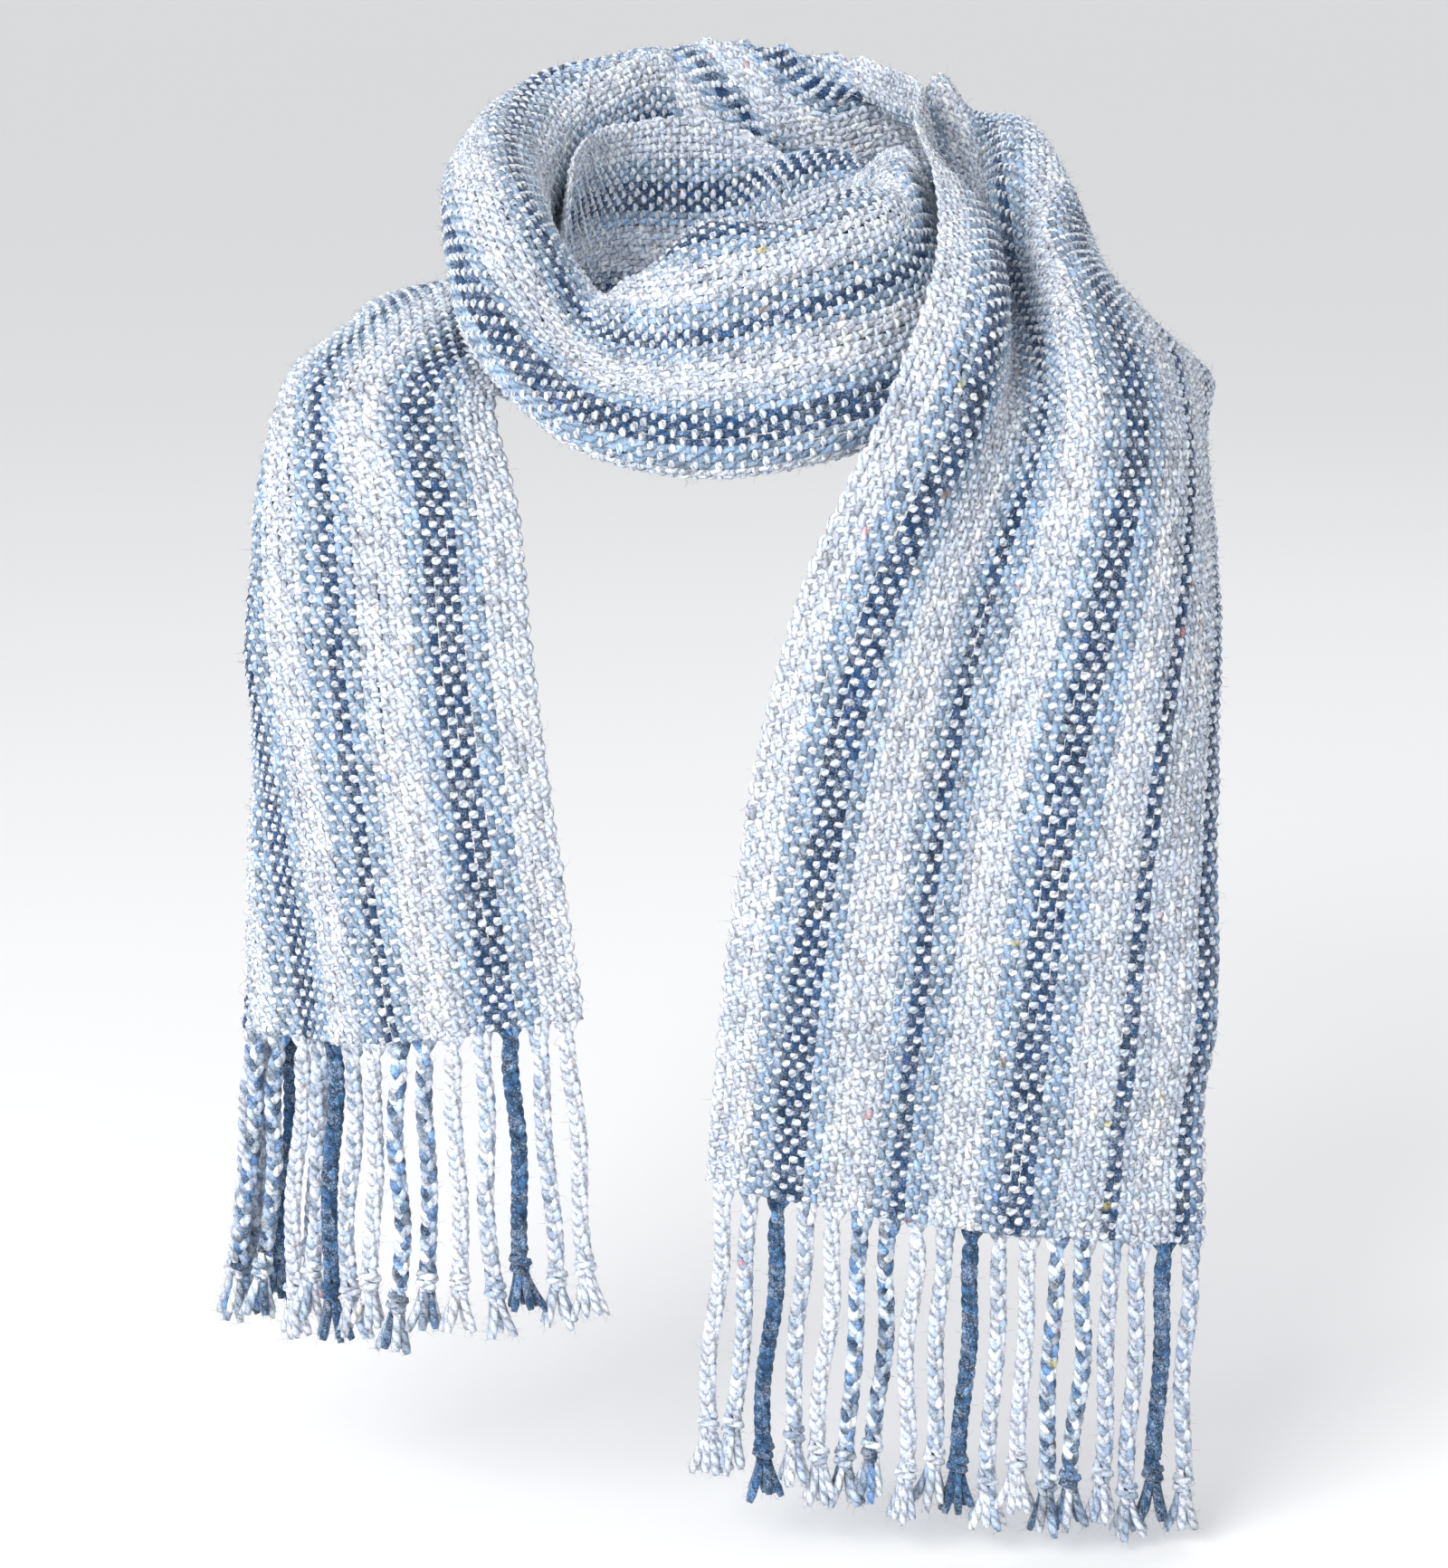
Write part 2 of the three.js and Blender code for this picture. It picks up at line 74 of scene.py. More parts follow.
# ---- The worn cloth's lie: one length of cloth, 200 mm wide and about 1.96 m long, wrapped once
# round a neck. Each line below crosses it, in millimetres, from the selvedge against the neck to the
# outer one. They run from the left hem over the shoulder, twice behind the neck and down again.
CLOTH_WIDTH = 200 * MM
WORN_LINES = [
    # Left tail, its outer third folded to the back
    [(-55, -170, -288), (-89, -176, -292), (-122, -175, -297), (-148, -160, -302), (-165, -139, -305),
     (-182, -133, -306), (-191, -121, -306), (-182, -109, -305), (-160, -108, -304), (-136, -110, -302)],
    [(-65, -165, -218), (-97, -171, -221), (-129, -170, -223), (-156, -157, -225), (-173, -138, -226),
     (-187, -124, -226), (-186, -110, -225), (-162, -104, -224), (-132, -106, -222)],
    [(-74, -153, -151.2), (-104, -159, -153.2), (-134, -159, -155.2), (-163, -151, -156.2),
     (-185, -133, -157.2), (-180, -112, -156.2), (-152, -106, -155.2), (-118, -107, -153.2)],
    [(-80, -134, -97), (-108, -140, -95), (-136, -139, -94), (-163, -130, -93), (-181, -112, -92),
     (-171, -92, -90), (-142, -88, -90), (-110, -92, -92)],
    # Over the left shoulder
    [(-90, -106, -54), (-112, -118, -54), (-138, -117, -52), (-160, -104, -50), (-172, -82, -48),
     (-162, -62, -48), (-134, -58, -54), (-106, -68, -60), (-92, -80, -64)],
    [(-74, -64, -43), (-91, -75, -35), (-114, -74, -27), (-138, -62, -27), (-153, -42, -34),
     (-148, -22, -46), (-122, -16, -50), (-94, -26, -52), (-84, -40, -54)],
    [(-64, -22, 6), (-74, -28, -16), (-98, -26, -17), (-124, -22, -20), (-146, -12, -28), (-142, 2, -42),
     (-116, 4, -48), (-90, -2, -50), (-80, -12, -52)],
    [(-61, 18, 36), (-67, 18, 6), (-84, 20, -18), (-112, 24, -24), (-138, 30, -36), (-130, 36, -56),
     (-102, 34, -60), (-76, 30, -62)],
    # Behind the neck, the inner pass
    [(-41, 50, 44), (-44, 54, 14), (-50, 62, -16), (-62, 76, -42), (-72, 90, -68), (-58, 90, -88),
     (-46, 78, -70), (-44, 72, -50)],
    [(0, 64, 44), (0, 69, 13), (0, 74, -18), (0, 86, -48), (0, 98, -76), (2, 84, -92), (2, 76, -72),
     (2, 70, -50)],
    # The upper edge starts to turn down outwards
    [(50, 60, 12), (48, 56, 33), (41, 49, 28), (42, 53, 0), (46, 62, -28), (54, 72, -54), (66, 86, -74),
     (77, 99, -63), (80, 101, -42)],
    [(83, 22, -16), (82, 22, 14), (73, 16, 35), (63, 12, 20), (62, 10, -10), (68, 10, -36), (88, 10, -50),
     (110, 12, -44), (118, 14, -24)],
    [(96, -33, -42), (91, -37, -10), (80, -38, 22), (68, -34, 34), (59, -28, 14), (62, -28, -14),
     (76, -34, -38), (96, -42, -58)],
    # The front crossing, folded lengthwise with the fold on top
    [(86, -94, -57), (91, -101, -61), (92, -106, -54), (83, -98, -30), (76, -88, -4), (66, -74, 20),
     (52, -60, 20), (50, -62, -8), (58, -74, -36), (68, -90, -64)],
    [(36, -135, -70), (36, -143, -75), (36, -149, -69), (33, -138, -44), (30, -123, -16), (28, -103, 10),
     (26, -82, 9), (25, -82, -20), (27, -96, -48), (30, -112, -74)],
    [(-10, -143, -75), (-10, -151, -80), (-10, -157, -74), (-10, -152, -63), (-10, -142, -50),
     (-10, -129, -38), (-10, -123, -29), (-10, -124, -15), (-10, -115, -1), (-11, -102, 9), (-11, -89, 8),
     (-11, -83, -8), (-12, -86, -30), (-13, -97, -52)],
    [(-47, -138, -67), (-50, -146, -72), (-52, -152, -66), (-49, -147, -55), (-45, -134, -45),
     (-41, -120, -37), (-39, -112, -30), (-38, -107, -18), (-38, -96, -11), (-38, -84, -16),
     (-38, -80, -34), (-38, -88, -54), (-42, -104, -66), (-44, -121, -66)],
    [(-69, -128, -53), (-73, -135, -58), (-77, -139, -51), (-71, -132, -42), (-65, -118, -34),
     (-59, -104, -28), (-55, -94, -24), (-52, -84, -17), (-49, -74, -22), (-49, -70, -40), (-55, -82, -58),
     (-64, -100, -66), (-68, -114, -62), (-64, -108, -51)],
    # Up the left side of the neck, over the left tail
    [(-92, -100, -34), (-97, -106, -37), (-100, -108, -30), (-91, -99, -4), (-76, -86, 8), (-61, -74, -4),
     (-58, -67, -26), (-66, -74, -39), (-81, -86, -35), (-85, -90, -17), (-78, -83, -8), (-71, -77, -17)],
    [(-107, -64, -19), (-111, -60, 6), (-109, -56, 22), (-94, -50, 34), (-74, -46, 20), (-70, -44, -5),
     (-81, -46, -12), (-96, -50, -7), (-101, -51, 11), (-91, -48, 21), (-82, -45, 9), (-87, -46, -1)],
    [(-107, 0, -9), (-111, 2, 16), (-110, 4, 34), (-96, 8, 50), (-77, 8, 36), (-72, 6, 10), (-82, 6, -2),
     (-98, 6, 4), (-103, 6, 26), (-93, 6, 38), (-84, 6, 24), (-88, 6, 14)],
    # Behind the neck again, the outer pass that stands up as a collar
    [(-91, 66, -3), (-93, 69, 30), (-78, 66, 65), (-62, 55, 54), (-58, 52, 25), (-62, 56, -2),
     (-77, 63, -8), (-86, 65, 10), (-84, 63, 32), (-72, 58, 32)],
    [(-35, 102, -1), (-37, 106, 32), (-32, 100, 73), (-26, 86, 72), (-24, 82, 42), (-25, 84, 12),
     (-28, 92, -16), (-32, 104, -42)],
    [(-20, 106, 11), (-20, 106, 58), (-19, 102, 71), (-19, 99, 75), (-17, 91, 75), (-16, 86, 68),
     (-16, 84, 53), (-16, 85, 23), (-16, 92, -11), (-17, 103, -39)],
    [(-4, 108, 24), (-5, 107, 56), (-7, 97, 79), (-8, 87, 66), (-7, 86, 36), (-6, 89, 6), (-4, 98, -22),
     (-2, 108, -50)],
    [(4, 108, 33), (3, 106, 58), (2, 103, 71), (2, 100, 76), (1, 93, 76), (1, 89, 68), (1, 86, 52),
     (2, 88, 22), (5, 96, -12), (10, 107, -45), (13, 112, -59)],
    [(12, 107, 41), (11, 104, 68), (9, 96, 78), (9, 89, 65), (10, 88, 36), (12, 92, 5), (17, 102, -24),
     (24, 111, -52), (30, 114, -66)],
    [(20, 107, 48), (20, 106, 55), (19, 102, 69), (18, 100, 74), (17, 94, 74), (17, 90, 66), (17, 88, 50),
     (19, 91, 20), (25, 100, -13), (34, 111, -45), (45, 117, -76)],
    [(28, 105, 54), (26, 99, 76), (25, 91, 64), (26, 90, 34), (30, 96, 4), (38, 106, -24), (48, 114, -52),
     (58, 118, -80)],
    [(38, 100, 59), (38, 98, 65), (38, 97, 71), (38, 92, 71), (39, 90, 62), (45, 90, 51), (50, 94, 22),
     (57, 102, -11), (66, 111, -43), (79, 117, -89)],
    [(49, 94, 63), (49, 91, 73), (51, 88, 62), (57, 88, 55), (64, 90, 55), (69, 93, 40), (74, 98, 12),
     (81, 104, -18), (88, 110, -48), (94, 114, -74), (97, 115, -88)],
    [(58, 84, 71), (59, 83, 66), (61, 83, 57), (72, 87, 50), (85, 93, 43), (94, 100, 10), (103, 106, -23),
     (115, 113, -81)],
    [(68, 76, 68), (72, 80, 48), (84, 86, 48), (94, 88, 64), (104, 94, 44), (114, 100, 14),
     (122, 104, -16), (128, 108, -46)],
    # Over the right shoulder, creased into a deep valley
    [(82, 38, 61), (90, 42, 34), (103, 48, 20), (116, 54, 44), (128, 54, 46), (142, 52, 18),
     (150, 50, -12), (156, 50, -42)],
    [(79, -2, 48), (92, 2, 20), (105, 8, 4), (121, 12, 28), (138, 10, 27), (152, 6, 0), (158, 2, -30),
     (164, 0, -58)],
    [(84, -46, 32), (106, -52, 10), (110, -34, -16), (121, -32, -10), (130, -50, 8), (153, -38, -8),
     (166, -18, -32), (176, 0, -54)],
    [(82, -112, -4), (106, -122, -22), (113, -104, -44), (122, -102, -40), (134, -120, -24),
     (160, -104, -30), (182, -78, -42), (198, -54, -54)],
    [(62, -155, -51), (90, -158, -60), (109, -136, -68), (119, -132, -68), (134, -149, -63),
     (160, -136, -64), (180, -112, -68), (190, -82, -72), (196, -52, -76)],
    # Right tail
    [(31, -168, -117), (62, -174, -120), (88, -163, -122), (112, -154, -123), (140, -164, -123),
     (168, -152, -124), (188, -128, -125), (196, -98, -125), (200, -68, -125)],
    [(12, -170, -192.3), (43, -179, -194.3), (74, -173, -196.3), (102, -165, -197.3), (133, -173, -198.3),
     (164, -165, -200.3), (188, -146, -202.3), (199, -118, -204.3), (204, -88, -206.3)],
    [(1, -169, -270.6), (34, -176, -273.6), (66, -175, -276.6), (98, -171, -278.6), (130, -174, -280.6),
     (162, -168, -282.6), (187, -154, -284.6), (203, -130, -286.6)],
    [(-6, -166, -356), (26, -172, -362), (58, -172, -368), (90, -169, -373), (122, -172, -376),
     (154, -169, -380), (186, -160, -384), (218, -151, -388)],
]


def smooth_line(points, at):
    """Places on the centripetal spline through points, where at counts the points passed."""
    points = np.asarray(points, float)
    last = len(points) - 1
    padded = np.concatenate([[2 * points[0] - points[1]], points, [2 * points[-1] - points[-2]]])
    span = np.clip(np.floor(at).astype(int), 0, last - 1)
    t = (at - span)[:, None]
    a, b, c, d = (padded[span + i] for i in range(4))
    before, here, after = (np.sqrt(np.linalg.norm(q - p, axis=1))[:, None]
                           for p, q in ((a, b), (b, c), (c, d)))
    leave = ((b - a) / before - (c - a) / (before + here) + (c - b) / here) * here
    arrive = ((c - b) / here - (d - b) / (here + after) + (d - c) / after) * here
    return (b + leave * t + (3 * (c - b) - 2 * leave - arrive) * t ** 2
            + (2 * (b - c) + leave + arrive) * t ** 3)


def across_line(points, distances):
    """Places at these distances along one line across the cloth, straight on past its end."""
    fine = smooth_line(np.asarray(points) * MM, np.linspace(0, len(points) - 1, 801))
    run = np.concatenate([[0], np.cumsum(np.linalg.norm(np.diff(fine, axis=0), axis=1))])
    place = np.stack([np.interp(distances, run, fine[:, k]) for k in range(3)], axis=1)
    past = np.maximum(distances - run[-1], 0)[:, None]
    way = fine[-1] - fine[-2]
    return place + past * way / np.linalg.norm(way)


def unit(v):
    return v / np.maximum(np.linalg.norm(v, axis=-1, keepdims=True), 1e-12)


# ---- The weave: a balanced plain weave of soft two-ply wool. Striped warp ends run the length
# of the cloth, and one white weft yarn goes to and fro over and under them, turning at each
# selvedge. Each end and pick is a yarn of its own here, in four lengths of cloth.
WARP_ENDS = 64
PICK_PITCH = 4.05 * MM
WARP_RISE, WEFT_RISE = 0.78 * MM, 1.0 * MM  # from the middle of the cloth to the top of a float
YARN_SIDES = 5  # of a woven yarn, whose roundness comes from smooth shading
CLOTH_LENGTHS = 4  # the pieces that the one cloth is made in
rng = np.random.default_rng(7)

# Where half-ends and half-picks lie, so that each crossing has points at and between the yarns
half_ends = np.linspace(0, CLOTH_WIDTH, 2 * WARP_ENDS + 1)
rows = np.stack([across_line(line, half_ends) for line in WORN_LINES])
last_line = len(WORN_LINES) - 1
fine_at = np.linspace(0, last_line, last_line * 24 + 1)
fine = np.stack([smooth_line(rows[:, k], fine_at) for k in range(0, 2 * WARP_ENDS + 1, 16)], axis=1)
steps = np.linalg.norm(np.diff(fine, axis=0), axis=2).mean(axis=1)
run_along = np.concatenate([[0], np.cumsum(steps)])
cloth_length = run_along[-1]
picks = int(round(cloth_length / PICK_PITCH / CLOTH_LENGTHS)) * CLOTH_LENGTHS
pick_at = np.interp(np.linspace(0, cloth_length, 2 * picks + 1), run_along, fine_at)
cloth = np.stack([smooth_line(rows[:, k], pick_at) for k in range(2 * WARP_ENDS + 1)], axis=1)


def cloth_normals():
    return unit(np.cross(np.gradient(cloth, axis=0), np.gradient(cloth, axis=1)))


# Worn wool is never flat: shallow waves cross the cloth, deeper on the two hanging tails.
WAVE_LENGTHS = (0.16, 0.11, 0.075, 0.05, 0.034)
WAVE_DEPTH, ON_A_TAIL = 6.2 * MM, 1.6
LEFT_HANGS, RIGHT_HANGS = 0.19, (0.22, 0.20)  # how far from each hem the tail's own waves reach
normals = cloth_normals()
run = np.linspace(0, cloth_length, 2 * picks + 1)[:, None]
over = half_ends[None, :]
wave = np.zeros(cloth.shape[:2])
for size in WAVE_LENGTHS:
    turn, slant = rng.uniform(0, 6.28, 2), rng.uniform(-0.8, 0.8)
    wave += size * np.sin(6.28 * (run + slant * over) / size + turn[0]) * np.sin(
        6.28 * over / (size * 1.7) + turn[1])
hanging = np.clip(1 - run / LEFT_HANGS, 0, 1) + np.clip(
    (run - cloth_length + RIGHT_HANGS[0]) / RIGHT_HANGS[1], 0, 1)
cloth = cloth + normals * (wave * WAVE_DEPTH * (0.55 + ON_A_TAIL * np.minimum(hanging, 1)))[..., None]
normals = cloth_normals()
outward = unit(np.gradient(cloth, axis=1))
forward = unit(np.gradient(cloth, axis=0))


def slubby(shape, every, amount):
    """Smooth seeded unevenness along yarns: yarns × points, a new value each so many points."""
    yarns, points = shape
    knots = rng.normal(0, amount, (yarns, points // every + 3))
    at = np.arange(points) / every
    low = at.astype(int)
    blend = (1 - np.cos(math.pi * (at - low))) / 2
    return knots[:, low] * (1 - blend) + knots[:, low + 1] * blend


def spin(name, centres, lift, width, height, dye, sides=YARN_SIDES):
    """One piece of closed yarns. centres, lift and dye are yarns × points along × 3."""
    count, length = centres.shape[:2]
    along = unit(np.gradient(centres, axis=1))
    side = unit(np.cross(lift, along))
    up = np.cross(along, side)
    turn = np.arange(sides) * 2 * math.pi / sides + math.pi / 2
    rings = (centres[:, :, None] + (side * width[..., None] / 2)[:, :, None] * np.cos(turn)[:, None]
             + (up * height[..., None] / 2)[:, :, None] * np.sin(turn)[:, None])
    # Quads between neighbouring rings, and a cap on each end of each yarn
    ring = (np.arange(count)[:, None] * length + np.arange(length - 1)).ravel()[:, None] * sides
    k, after = np.arange(sides), (np.arange(sides) + 1) % sides
    quads = np.stack([ring + k, ring + after, ring + sides + after, ring + sides + k], axis=-1)
    first = np.arange(count)[:, None] * length * sides + k[::-1]
    final = (np.arange(count)[:, None] * length + length - 1) * sides + k
    corners = np.concatenate([quads.ravel(), first.ravel(), final.ravel()])
    sizes = np.concatenate([np.full(quads.size // 4, 4), np.full(2 * count, sides)])
    mesh = bpy.data.meshes.new(name)
    mesh.vertices.add(count * length * sides)
    mesh.vertices.foreach_set("co", rings.ravel())
    mesh.loops.add(len(corners))
    mesh.loops.foreach_set("vertex_index", corners.astype(np.int32))
    mesh.polygons.add(len(sizes))
    starts = np.concatenate([[0], np.cumsum(sizes)[:-1]])
    mesh.polygons.foreach_set("loop_start", starts.astype(np.int32))
    mesh.polygons.foreach_set("use_smooth", np.ones(len(sizes), bool))
    # The yarn's own map: centimetres along it, and turns round it
    gone = np.cumsum(np.linalg.norm(np.diff(centres, axis=1, prepend=centres[:, :1]), axis=2), axis=1)
    gone = gone.ravel() * 100 + rng.uniform(0, 5)
    here = np.repeat(ring[:, :1] // sides, sides, axis=1)
    u = np.stack([gone[here], gone[here], gone[here + 1], gone[here + 1]], axis=-1)
    v = np.broadcast_to(np.stack([k, k + 1, k + 1, k], axis=-1) / sides, u.shape)
    caps = np.zeros((2 * count * sides, 2))
    uv = np.concatenate([np.stack([u.ravel(), v.ravel()], axis=1), caps])
    mesh.uv_layers.new(name="twist").data.foreach_set("uv", uv.ravel().astype(np.float32))
    colour = np.ones((count * length, sides, 4), np.float32)
    colour[..., :3] = dye.reshape(-1, 1, 3)
    mesh.attributes.new("dye", "FLOAT_COLOR", "POINT").data.foreach_set("color", colour.ravel())
    mesh.update(calc_edges=True)
    piece = bpy.data.objects.new(name, mesh)
    bpy.context.collection.objects.link(piece)
    return piece


# Stripes of the warp, from the selvedge at the neck outwards: each reaches to this share of the
# width. The weft is one white yarn all through, so it shows as white dots on the navy.
WHITE, CLOUD, SKY = (0.68, 0.72, 0.81), (0.51, 0.57, 0.67), (0.25, 0.35, 0.48)
NAVY, DUSK, WEFT_WHITE = (0.020, 0.062, 0.150), (0.17, 0.25, 0.38), (0.73, 0.78, 0.87)
STRIPES = [(0.085, WHITE), (0.123, SKY), (0.194, NAVY), (0.224, SKY), (0.240, CLOUD), (0.305, WHITE),
           (0.327, CLOUD), (0.364, SKY), (0.398, NAVY), (0.430, SKY), (0.450, CLOUD), (0.530, WHITE),
           (0.582, SKY), (0.645, NAVY), (0.680, SKY), (0.700, CLOUD), (0.750, WHITE), (0.780, CLOUD),
           (0.816, NAVY), (0.850, CLOUD), (0.905, WHITE), (0.935, CLOUD), (0.963, NAVY), (1.0, DUSK)]
NEPS = [(0.75, 0.62, 0.12), (0.62, 0.22, 0.20), (0.06, 0.20, 0.62), (0.42, 0.30, 0.20),
        (0.06, 0.33, 0.36)]
NEPS_IN_CLOTH, NEPS_IN_BRAID, NEPS_IN_KNOT = 0.0016, 0.0006, 0.003  # share of a yarn's points


def heather(base, shape, amount, neps):
    """Dyed fibre is carded, so a yarn's colour drifts along it and small coloured neps show."""
    dye = np.array(base, float) * np.exp(slubby(shape, 5, amount) + slubby(shape, 2, amount * 0.8))[..., None]
    cast = np.minimum(slubby(shape, 7, 0.05), 0.06)[..., None] * np.array([1.0, 0.35, -0.2])
    dye = dye * (1 + cast)
    for yarn, point in zip(*np.nonzero(rng.random(shape) < neps)):
        fleck = np.array(NEPS[rng.integers(len(NEPS))])
        dye[yarn, point:point + rng.integers(1, 3)] = fleck * 0.6 + dye[yarn, point] * 0.4
    return np.clip(dye, 0.004, 0.95)


ends = np.arange(WARP_ENDS)
end_colour = np.array([next(c for share, c in STRIPES if (e + 0.5) / WARP_ENDS <= share) for e in ends])
crossing = np.arange(2 * picks + 1)
over_under = np.where(crossing % 2 == 1, (-1.0) ** ((crossing - 1) // 2), 0)  # between picks: level
warp_path = cloth[:, 1::2].transpose(1, 0, 2)
warp_lift = normals[:, 1::2].transpose(1, 0, 2)
shape = warp_path.shape[:2]
rise = over_under[None] * (-1.0) ** ends[:, None] * WARP_RISE
# Between crossings an end leans to one side and then the other, so its floats lie aslant
aslant = np.where(crossing % 2 == 0, (-1.0) ** (crossing // 2), 0)[None] * (-1.0) ** ends[:, None] * 0.10
warp_path = (warp_path + warp_lift * (rise * (1 + slubby(shape, 2, 0.22)))[..., None]
             + outward[:, 1::2].transpose(1, 0, 2)
             * ((slubby(shape, 4, 0.14) + slubby(shape, 30, 0.25) + aslant) * MM)[..., None])
thick = np.exp(slubby(shape, 3, 0.09) + slubby(shape, 25, 0.06))
warp_width = (3.80 - 1.15 * np.abs(over_under)) * MM * thick
warp_height = 1.62 * MM * thick
warp_dye = heather(end_colour[:, None], shape, 0.21, NEPS_IN_CLOTH)


TURN_STANDS_OUT = 0.35 * MM


def weft_stretch(first, last):
    """The weft yarn from one pick to another, ready to spin: it turns back at each selvedge."""
    across = np.arange(2 * WARP_ENDS + 1)
    places, lifts, sizes, levels = [], [], [], []
    for pick in range(first, last):
        row, back = 2 * pick + 1, pick % 2 == 1
        order = across[::-1] if back else across
        level = np.where(order % 2 == 1, -(-1.0) ** (pick + (order - 1) // 2), 0) * WEFT_RISE
        skew = np.where(order % 2 == 0, (-1.0) ** (pick + order // 2), 0) * 0.13 + rng.normal(0, 0.2)
        unsteady = level * rng.normal(1, 0.15, len(order))
        places.append(cloth[row, order] + normals[row, order] * unsteady[:, None]
                      + forward[row, order] * ((skew + rng.normal(0, 0.17, len(order))) * MM)[:, None])
        lifts.append(normals[row, order])
        levels.append(np.abs(level) / WEFT_RISE)
        end = order[-1]
        turn = cloth[row + 1, end] + outward[row + 1, end] * (-TURN_STANDS_OUT if back else TURN_STANDS_OUT)
        places.append(turn[None])
        lifts.append(normals[row + 1, end][None])
        levels.append(np.full(1, 0.4))
    places, lifts, levels = (np.concatenate(x)[None] for x in (places, lifts, levels))
    uneven = np.exp(slubby(levels.shape, 2, 0.12) + slubby(levels.shape, 20, 0.07))
    width = (2.35 + 0.80 * levels) * MM * uneven
    height = (1.30 + 0.50 * levels) * MM * uneven
    return places, lifts, width, height, heather(WEFT_WHITE, levels.shape, 0.12, NEPS_IN_CLOTH)


def fuzz(name, sources, hairs, reach, thickness=0.13 * MM):
    """Loose fibres that stand off the yarns of the source pieces, each a fine bent hair."""
    roots, ups, dyes = [], [], []
    for source in sources:
        mesh = source.data
        points = np.zeros(len(mesh.vertices) * 3, np.float32)
        turned = np.zeros(len(mesh.vertices) * 3, np.float32)
        tint = np.zeros(len(mesh.vertices) * 4, np.float32)
        mesh.vertices.foreach_get("co", points)
        mesh.vertices.foreach_get("normal", turned)
        mesh.attributes["dye"].data.foreach_get("color", tint)
        chosen = rng.choice(len(mesh.vertices), hairs // len(sources), replace=False)
        roots.append(points.reshape(-1, 3)[chosen].astype(float))
        ups.append(turned.reshape(-1, 3)[chosen].astype(float))
        dyes.append(tint.reshape(-1, 4)[chosen, :3].astype(float))
    root, up, tint = (np.concatenate(x) for x in (roots, ups, dyes))
    lean = unit(np.cross(up, unit(rng.normal(size=up.shape))))
    long = rng.uniform(0.5, 1.0, (len(root), 1)) * reach
    stand = rng.uniform(0.25, 0.9, (len(root), 1))
    bend = unit(np.cross(up, lean)) * rng.normal(0, 0.3, (len(root), 1))
    middle = root + (up * stand + lean * 0.55) * long * 0.5
    tip = middle + (up * stand * 0.35 + lean * 0.7 + bend) * long * 0.5
    centres = np.stack([root - up * 0.2 * MM, middle, tip], axis=1)
    lift = np.repeat(unit(bend + up * 0.01)[:, None], 3, axis=1)
    width = np.array([1.0, 0.8, 0.25]) * thickness * np.ones((len(root), 1))
    dye = np.repeat(np.clip(tint * 0.8 + 0.15, 0, 1)[:, None], 3, axis=1)
    return spin(name, centres, lift, width, width, dye, sides=3)


class Wool:
    """A socket of a material's nodes; sums and products of it add Math nodes."""

    def __init__(self, tree, socket=None):
        self.tree, self.socket = tree, socket

    def node(self, kind, settings, inputs, out=0):
        """A new node with its settings and its sockets' values or links, as its output socket."""
        made = self.tree.nodes.new(kind)
        for name, value in settings.items():
            setattr(made, name, value)
        for name, value in inputs.items():
            if isinstance(value, Wool):
                self.tree.links.new(value.socket, made.inputs[name])
            else:
                made.inputs[name].default_value = value
        return Wool(self.tree, made.outputs[out]) if made.outputs else None

    def maths(self, operation, a, b):
        return self.node("ShaderNodeMath", {"operation": operation}, {0: a, 1: b})

    def __add__(self, other): return self.maths("ADD", self, other)
    def __radd__(self, other): return self.maths("ADD", other, self)
    def __sub__(self, other): return self.maths("SUBTRACT", self, other)
    def __rsub__(self, other): return self.maths("SUBTRACT", other, self)
    def __mul__(self, other): return self.maths("MULTIPLY", self, other)
    def __rmul__(self, other): return self.maths("MULTIPLY", other, self)
    def __pow__(self, other): return self.maths("POWER", self, other)


# Woollen yarn is two plies twisted together, each carded from several dyes. The twist is also painted into
# the colour as shade in the grooves between the plies and highlight on their crowns.
PLIES, TWISTS_PER_CM = 2, 1.9
CLOUD_CAST, PALE_FIBRE = (0.62, 0.70, 0.80, 1), (0.80, 0.85, 0.92, 1)


